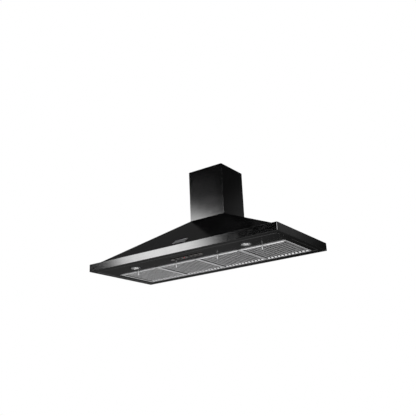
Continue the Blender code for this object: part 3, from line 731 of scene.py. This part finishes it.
def build_rim():
    roll = [(SIDE_HEM - back, FRONT_HEM - back, up) for back, up in (
        (HEM_ROLL * (1 - math.sin(angle)), HEM_ROLL * (1 - math.cos(angle)))
        for angle in (math.radians(15 * i) for i in range(7)))]
    rows = [(RIM_LEDGE, RIM_LEDGE, RIM_HEIGHT), (0.0, 0.0, RIM_HEIGHT), (0.0, 0.0, 0.0)]
    rows += roll + [(SIDE_HEM, FRONT_HEM, HEM_LIP)]
    rim = sheet("rim_sheet", rim_stations(rows, -BACK_SHEET - GAP, RIM_CORNER), fold=0.0012)
    finish_piece(rim, "black_enamel", "hood_body", ("rim_band",))
    # dressed weld along each mitre of the bottom fold
    bm = bmesh.new()
    for side in (-1, 1):
        start = Vector((side * (WIDTH / 2 - 0.0015), -DEPTH + 0.0020, 0.0002))
        end = Vector((side * (WIDTH / 2 - SIDE_HEM + 0.001), -DEPTH + FRONT_HEM - 0.001, 0.0002))
        along = (end - start).normalized()
        across = Vector((0, 0, 1)).cross(along)
        rings = []
        for share in (0.0, 0.02, 0.5, 0.98, 1.0):
            size = 0.25 if share in (0.0, 1.0) else 1.0
            middle = start.lerp(end, share)
            ring = []
            for i in range(8):
                angle = 2 * math.pi * i / 8
                ring.append(middle + across * (0.0008 * size * math.cos(angle))
                            + Vector((0, 0, 0.0002 * size * math.sin(angle))))
            rings.append(ring)
        add_loft(bm, rings)
    piece("rim_mitre_welds", bm, "black_enamel")


def build_canopy():
    inset = RIM_LEDGE + GAP
    side_top = (WIDTH - CHIMNEY_WIDTH) / 2
    front_top = DEPTH - CHIMNEY_DEPTH
    flange = 0.008
    rows = [
        (inset, inset, RIM_HEIGHT - 0.014), (inset, inset, RIM_HEIGHT),
        (side_top, front_top, CANOPY_TOP), (side_top + flange, front_top + flange, CANOPY_TOP),
    ]
    canopy = sheet("canopy_sheet", rim_stations(rows, -BACK_SHEET - GAP)[::-1])
    finish_piece(canopy, "black_enamel", "hood_body", ("canopy_shell",))


def build_underside():
    roll = arc((PANEL_FRONT + PANEL_ROLL, PANEL_BOTTOM + PANEL_ROLL), PANEL_ROLL, 180, 270, 6)
    profile = [(PANEL_FRONT, 0.0115)] + roll + [(PANEL_REAR, PANEL_BOTTOM), (PANEL_REAR, 0.0130)]
    panel = long_sheet("light_panel_sheet", profile, PANEL_HALF)
    holes = [rod("hole", 0.0255, -0.01, 0.01, (side * LAMP_X, LAMP_Y, 0)) for side in (-1, 1)]
    outline = stadium(CONTROL_LENGTH - 0.012, CONTROL_DEPTH - 0.005)
    holes.append(plate("hole", outline, -0.01, 0.01, (0, CONTROL_Y, 0)))
    finish_piece(cut(panel, holes), "black_enamel", "hood_body", ("light_panel",))
    rear = [(-BACK_SHEET - GAP, 0.030), (-BACK_SHEET - GAP, 0.0005), (-0.0470, 0.0005),
            (-0.0470, 0.0135), (-0.0590, 0.0135)]
    rail = long_sheet("rear_rail_sheet", rear[::-1], PANEL_HALF)
    finish_piece(rail, "black_enamel", "hood_body", ("rear_filter_rail",))
    inner = 0.4970
    profile = [(PANEL_HALF, 0.0115), (PANEL_HALF, PANEL_BOTTOM), (inner, PANEL_BOTTOM), (inner, 0.0118)]
    for name, side in (("left", -1), ("right", 1)):
        stations = [[(side * x, y, z) for x, z in profile] for y in (PANEL_REAR + GAP, -0.0470 - GAP)]
        if side < 0:
            stations.reverse()
        finish_piece(sheet("side_rail_sheet_" + name, stations), "black_enamel", "hood_body",
                     ("side_rail_" + name,))


def chimney_stations(inset, rear, bottom, top):
    half = CHIMNEY_WIDTH / 2 - inset
    front = -CHIMNEY_DEPTH + inset
    turn_in = half - 0.015
    plan = [(-turn_in, rear), (-half, rear), (-half, front), (half, front), (half, rear), (turn_in, rear)]
    return [[(x, y, z) for x, y in plan] for z in (bottom, top)]


def build_chimney():
    lower = sheet("chimney_sheet_outer", chimney_stations(0.0, -0.0006, CANOPY_TOP + GAP, CHIMNEY_TOP),
                  fold=0.0009)
    finish_piece(lower, "black_enamel", "hood_body", ("chimney_cover_lower",))
    upper = sheet("chimney_sheet_inner",
                  chimney_stations(0.0018, -0.0024, CANOPY_TOP + 0.004, CHIMNEY_TOP - 0.002))
    finish_piece(upper, "black_enamel", "upper_chimney", ("chimney_cover_upper",))


# ---------------------------------------------------------------- filters
def filter_x(number):
    return (number - 2.5) * FILTER_PITCH


def latch_cutters(x):
    """The mouth for a latch's tongue in the frame's front wall, and the slot for its pull below."""
    boxes = {
        "latch_mouth": ((x - MOUTH_HALF, FILTER_FRONT - 0.002, 0.0013),
                        (x + MOUTH_HALF, FILTER_FRONT + 0.002, 0.0037)),
        "latch_slot": ((x - SLOT_HALF, FILTER_FRONT + 0.0014, -0.0010),
                       (x + SLOT_HALF, FILTER_FRONT + 0.0116, 0.0020)),
    }
    tools = []
    for name, (low, high) in boxes.items():
        tool = bmesh.new()
        add_bar(tool, low, high)
        tools.append(object_from(tool, name))
    return tools


def build_filter_frame(number):
    """A channel bent round the four sides, its side strips crowned, with two lips under the front."""
    x = filter_x(number)
    half = FILTER_WIDTH / 2

    crown = FILTER_BOTTOM - FRAME_CROWN
    outer = rounded([(FRAME_SIDE, FILTER_TOP), (0.0, FILTER_TOP), (0.0, FILTER_BOTTOM + 0.0008),
                     (0.0026, crown), (FRAME_SIDE - 0.0020, crown), (FRAME_SIDE, FILTER_BOTTOM + 0.0004)],
                    0.0012)
    section = outer + offset_path(outer, FRAME_SHEET)[::-1]
    deeper = FRAME_FRONT / FRAME_SIDE
    bm = bmesh.new()

    def corner(side, at_front, crowned):
        points = []
        for inset, z in section:
            y = FILTER_FRONT + inset * deeper if at_front else FILTER_REAR - inset
            flat = max(z, FILTER_BOTTOM) if z < FILTER_BOTTOM + 0.0006 else z
            points.append((x + side * (half - inset), y, z if crowned else flat))
        return points

    # the crown on the side strips runs out towards the front and the rear
    rings = []
    for side, order in ((-1, (False, True)), (1, (True, False))):
        for at_front in order:
            flat = corner(side, at_front, False)
            run_out = CROWN_RUN_FRONT if at_front else -CROWN_RUN_REAR
            near = [(px, py + run_out, pz) for px, py, pz in corner(side, at_front, True)]
            turned = (near, flat) if at_front == (side < 0) else (flat, near)
            rings += turned
    add_loft(bm, rings, cyclic=True)
    lip = rounded([(LIP_BACK, FILTER_BOTTOM + 0.0006), (LIP_BACK, FILTER_BOTTOM - FRONT_LIP),
                   (LIP_TOE, FILTER_BOTTOM - FRONT_LIP), (LIP_FRONT, FILTER_BOTTOM - 0.0002),
                   (LIP_FRONT, FILTER_BOTTOM + 0.0006)], 0.0005)
    for side in (-1, 1):
        near, far = sorted((side * LIP_BREAK, side * FRONT_LIP_HALF))
        add_loft(bm, [[(x + reach, y, z) for y, z in lip] for reach in (near, far)])
    blank = object_from(bm, "filter_frame_blank")
    cut(blank, latch_cutters(x))
    bm = bmesh.new()
    bm.from_mesh(blank.data)
    bpy.data.objects.remove(blank, do_unlink=True)
    piece("filter_%d_frame" % number, bm, "stainless_filter", "filter_%d" % number,
          ("filter_frame_%d" % number,))


def channel_ring(x, base, tip, y):
    """The section of one channel at y, its web's corners rounded."""
    up = 1 if tip > base else -1
    half, wall, turn = BAFFLE_WIDTH / 2, BAFFLE_SHEET, 0.0018
    outer = rounded([(x - half, tip), (x - half, base), (x + half, base), (x + half, tip)], turn)
    inner = rounded([(x - half + wall, tip), (x - half + wall, base + up * wall),
                     (x + half - wall, base + up * wall), (x + half - wall, tip)], turn - wall)
    return [(px, y, pz) for px, pz in outer + inner[::-1]]


def build_baffles(number):
    """Two layers of facing channels, tied by a strip at each end; the lower ones ramp down to the frame."""
    x0 = filter_x(number)
    front = FILTER_FRONT + FRAME_FRONT + 0.0005
    rear = FILTER_REAR - FRAME_SIDE + 0.0050
    frame_edge = FILTER_REAR - FRAME_SIDE
    rest = FILTER_BOTTOM + FRAME_SHEET + GAP
    bm = bmesh.new()
    first = -(BAFFLE_COUNT - 1) / 2 * BAFFLE_PITCH
    for i in range(BAFFLE_COUNT):
        x = x0 + first + i * BAFFLE_PITCH
        rings = [channel_ring(x, BAFFLE_LOW, BAFFLE_LOW + BAFFLE_FLANGE, front)]
        for step in range(7):
            t = step / 6
            base = BAFFLE_LOW + (rest - BAFFLE_LOW) * t * t * (3 - 2 * t)
            y = frame_edge - BAFFLE_RAMP * (1 - t)
            rings.append(channel_ring(x, base, BAFFLE_LOW + BAFFLE_FLANGE, y))
        rings.append(channel_ring(x, rest, BAFFLE_LOW + BAFFLE_FLANGE, rear))
        add_loft(bm, rings)
    for i in range(BAFFLE_COUNT - 1):
        x = x0 + first + (i + 0.5) * BAFFLE_PITCH
        add_loft(bm, [channel_ring(x, BAFFLE_HIGH, BAFFLE_HIGH - 0.0031, y) for y in (front, rear)])
    half = FILTER_WIDTH / 2 - 0.0022
    for y in (front - 0.0006, rear - 0.0014):
        add_bar(bm, (x0 - half, y, 0.0064), (x0 + half, y + 0.0020, 0.0092), bevel=0.0003, segments=1)
    piece("filter_%d_baffles" % number, bm, "stainless_filter", "filter_%d" % number,
          ("filter_baffles_%d" % number,))


def build_latch(number):
    """A flat tongue with a ribbed pull hanging from it."""
    x = filter_x(number)
    bm = bmesh.new()
    add_bar(bm, (x - 0.0083, FILTER_FRONT - 0.0008, 0.0016), (x + 0.0083, FILTER_FRONT + 0.0085, 0.0034),
            bevel=0.0005)
    profile = [(0, 0.0030), (0.0032, 0.0030), (0.0032, PULL_TOP)]
    height = (PULL_TOP - PULL_LOW) / PULL_RIBS
    for rib in range(PULL_RIBS):
        top = PULL_TOP - rib * height
        wide = 0.0034 + 0.0001 * rib
        profile += [(wide - 0.0003, top), (wide, top - 0.0003), (wide - 0.0001, top - 0.0006),
                    (wide - 0.0021, top - height + 0.0001)]
    profile += [(0.0015, PULL_LOW), (0, PULL_LOW)]
    add_lathe(bm, profile, 32, matrix=Matrix.Translation((x, FILTER_FRONT + 0.0050, 0)))
    piece("latch_%d_pull" % number, bm, "bright_chrome", "latch_%d" % number,
          ("filter_latch_%d" % number,), angle=40)


# ---------------------------------------------------------------- lamps and controls
def build_lamp(suffix, side):
    """A stepped ring, a flat pane, a spun reflector and the capsule in it."""
    centre = Matrix.Translation((side * LAMP_X, LAMP_Y, 0))
    lip = PANEL_BOTTOM - GAP
    bm = bmesh.new()
    ring = [(0.0225, lip), (0.0290, lip), (0.0290, lip - 0.0006), (0.0287, lip - 0.0013),
            (0.0279, lip - 0.0021), (0.0268, lip - 0.0027), (0.0257, lip - 0.0028), (0.0247, lip - 0.0024),
            (0.0238, lip - 0.0023), (0.0229, lip - 0.0018), (0.0220, lip - 0.0012), (0.0218, lip - 0.0006),
            (0.0218, lip)]
    add_lathe(bm, ring, 72, closed=True, matrix=centre)
    piece("lamp_bezel_" + suffix, bm, "lamp_ring_grey", stands_for=("lamp_ring_" + suffix,), angle=35)
    bm = bmesh.new()
    pane = [(0, lip + 0.0010), (0.0212, lip + 0.0010), (0.0215, lip + 0.0007), (0.0215, lip - 0.0012),
            (0.0211, lip - 0.0016), (0.0180, lip - 0.0017), (0, lip - 0.0018)]
    add_lathe(bm, pane, 72, matrix=centre)
    piece("lamp_pane_" + suffix, bm, "lamp_glass", stands_for=("lamp_glass_" + suffix,), angle=35)
    bm = bmesh.new()
    outer = [(0.0, 0.0400), (0.0120, 0.0400), (0.0135, 0.0300), (0.0205, 0.0180), (0.0250, 0.0070),
             (0.0250, 0.0030), (0.0240, 0.0030)]
    inner = [(0.0238, 0.0034), (0.0234, 0.0042), (0.0124, 0.0205), (0.0116, 0.0225)]
    add_lathe(bm, outer + inner + [(0.0108, 0.0388), (0.0, 0.0388)], 48, matrix=centre)
    piece("lamp_reflector_" + suffix, bm, "polished_aluminium", stands_for=("lamp_housing_" + suffix,),
          angle=12)
    bm = bmesh.new()
    capsule = [(0.0, 0.0370), (0.0042, 0.0370), (0.0042, 0.0245), (0.0046, 0.0228), (0.0050, 0.0205),
               (0.0050, 0.0120), (0.0046, 0.0104), (0.0036, 0.0088), (0.0020, 0.0078), (0.0, 0.0075)]
    add_lathe(bm, capsule, 32, matrix=centre)
    piece("lamp_capsule_" + suffix, bm, "lamp_glass", stands_for=("halogen_bulb_" + suffix,), angle=40)


def build_controls():
    """The trim, the strip inside it, five buttons and the red light."""
    lip = PANEL_BOTTOM - GAP
    bm = bmesh.new()
    section = [(0.0, lip), (0.0, lip - 0.0024)] + [
        (0.0011 + 0.0011 * x, lip - 0.0027 + 0.0011 * y)
        for x, y in arc((0, 0), 1.0, 180, 360, 8)
    ] + [(CONTROL_RIM, lip - 0.0024), (CONTROL_RIM, lip)]
    rings = []
    for inset, z in section:
        outline = stadium(CONTROL_LENGTH - 2 * inset, CONTROL_DEPTH - 2 * inset)
        rings.append([(x, y + CONTROL_Y, z) for x, y in outline])
    add_loft(bm, rings, cyclic=True)
    piece("control_trim", bm, "trim_chrome", stands_for=("control_bezel",))
    length, depth = (side - 2 * CONTROL_RIM - 2 * GAP for side in (CONTROL_LENGTH, CONTROL_DEPTH))
    fascia = plate("control_strip", stadium(length, depth), lip - 0.0024, lip, (0, CONTROL_Y, 0))
    holes = [rod("hole", 0.0071, -0.01, 0.01, (slot * BUTTON_PITCH, CONTROL_Y, 0)) for slot in BUTTON_SLOTS]
    holes.append(rod("hole", 0.0027, -0.01, 0.01, (INDICATOR_SLOT * BUTTON_PITCH, CONTROL_Y, 0)))
    finish_piece(cut(fascia, holes), "fascia_black", "hood_body", ("control_fascia",))
    cap = [(0, 0.0130), (0.0032, 0.0130), (0.0032, 0.0020), (0.0065, 0.0020), (0.0065, -0.0036),
           (0.0063, -0.0046), (0.0057, -0.0053), (0.0048, -0.0056), (0.0038, -0.0055), (0.0026, -0.0052),
           (0.0012, -0.0050), (0, -0.0050)]
    for number, slot in enumerate(BUTTON_SLOTS, start=1):
        bm = bmesh.new()
        add_lathe(bm, cap, 40, matrix=Matrix.Translation((slot * BUTTON_PITCH, CONTROL_Y, 0)))
        piece("button_%d_cap" % number, bm, "button_black", "button_%d" % number,
              ("push_button_%d" % number,), angle=40)
    lens = [(0, 0.0024), (0.0023, 0.0024), (0.0023, -0.0026), (0.0021, -0.0032), (0.0016, -0.0037),
            (0.0009, -0.0040), (0, -0.0040)]
    bm = bmesh.new()
    add_lathe(bm, lens, 28, matrix=Matrix.Translation((INDICATOR_SLOT * BUTTON_PITCH, CONTROL_Y, 0)))
    piece("indicator_light", bm, "indicator_red", stands_for=("indicator_lens",), angle=40)


def build_badge():
    """A plain raised plate: a bright border round a finely ribbed field."""
    slope = math.atan2(CANOPY_TOP - RIM_HEIGHT, DEPTH - RIM_LEDGE - CHIMNEY_DEPTH)
    along = Vector((0, math.cos(slope), math.sin(slope)))
    outward = Vector((0, -math.sin(slope), math.cos(slope)))
    foot = Vector((-0.006, -DEPTH + RIM_LEDGE + GAP, RIM_HEIGHT))
    centre = foot + along * 0.0532 + outward * (0.0006 + 0.0015)
    turn = Matrix.Translation(centre) @ Matrix.Rotation(slope, 4, 'X')
    bm = bmesh.new()
    add_bar(bm, (-0.038, -0.016, -0.0015), (0.038, 0.016, 0.0009), bevel=0.0006, matrix=turn)
    for low, high in (((-0.0378, -0.0158, 0.0), (0.0378, -0.0136, 0.0015)),
                      ((-0.0378, 0.0136, 0.0), (0.0378, 0.0158, 0.0015)),
                      ((-0.0378, -0.0158, 0.0), (-0.0356, 0.0158, 0.0015)),
                      ((0.0356, -0.0158, 0.0), (0.0378, 0.0158, 0.0015))):
        add_bar(bm, low, high, bevel=0.0005, matrix=turn)
    for i in range(BADGE_RIBS):
        x = -0.0340 + 0.0680 * i / (BADGE_RIBS - 1)
        add_bar(bm, (x - 0.0009, -0.0128, 0.0006), (x + 0.0009, 0.0128, 0.0013), bevel=0.0004, segments=2,
                matrix=turn)
    piece("badge_blank", bm, "badge_metal", stands_for=("badge_plate",))


# ---------------------------------------------------------------- assembly
SCENE.view_settings.view_transform = 'Standard'
build_camera()
build_stage()
build_world()
build_lights()
build_top_light()
PAINTS = build_materials()
SLOTS = {row["node"]: row["material_slot"] for row in frame["record"]["subparts"]}
for node_name, node_object in NODES.items():
    node_object.data.materials.clear()
    node_object.data.materials.append(PAINTS[SLOTS[node_name]])

build_rim()
build_canopy()
build_underside()
build_chimney()
for filter_number in range(1, 5):
    build_filter_frame(filter_number)
    build_baffles(filter_number)
    build_latch(filter_number)
build_lamp("left", -1)
build_lamp("right", 1)
build_controls()
build_badge()
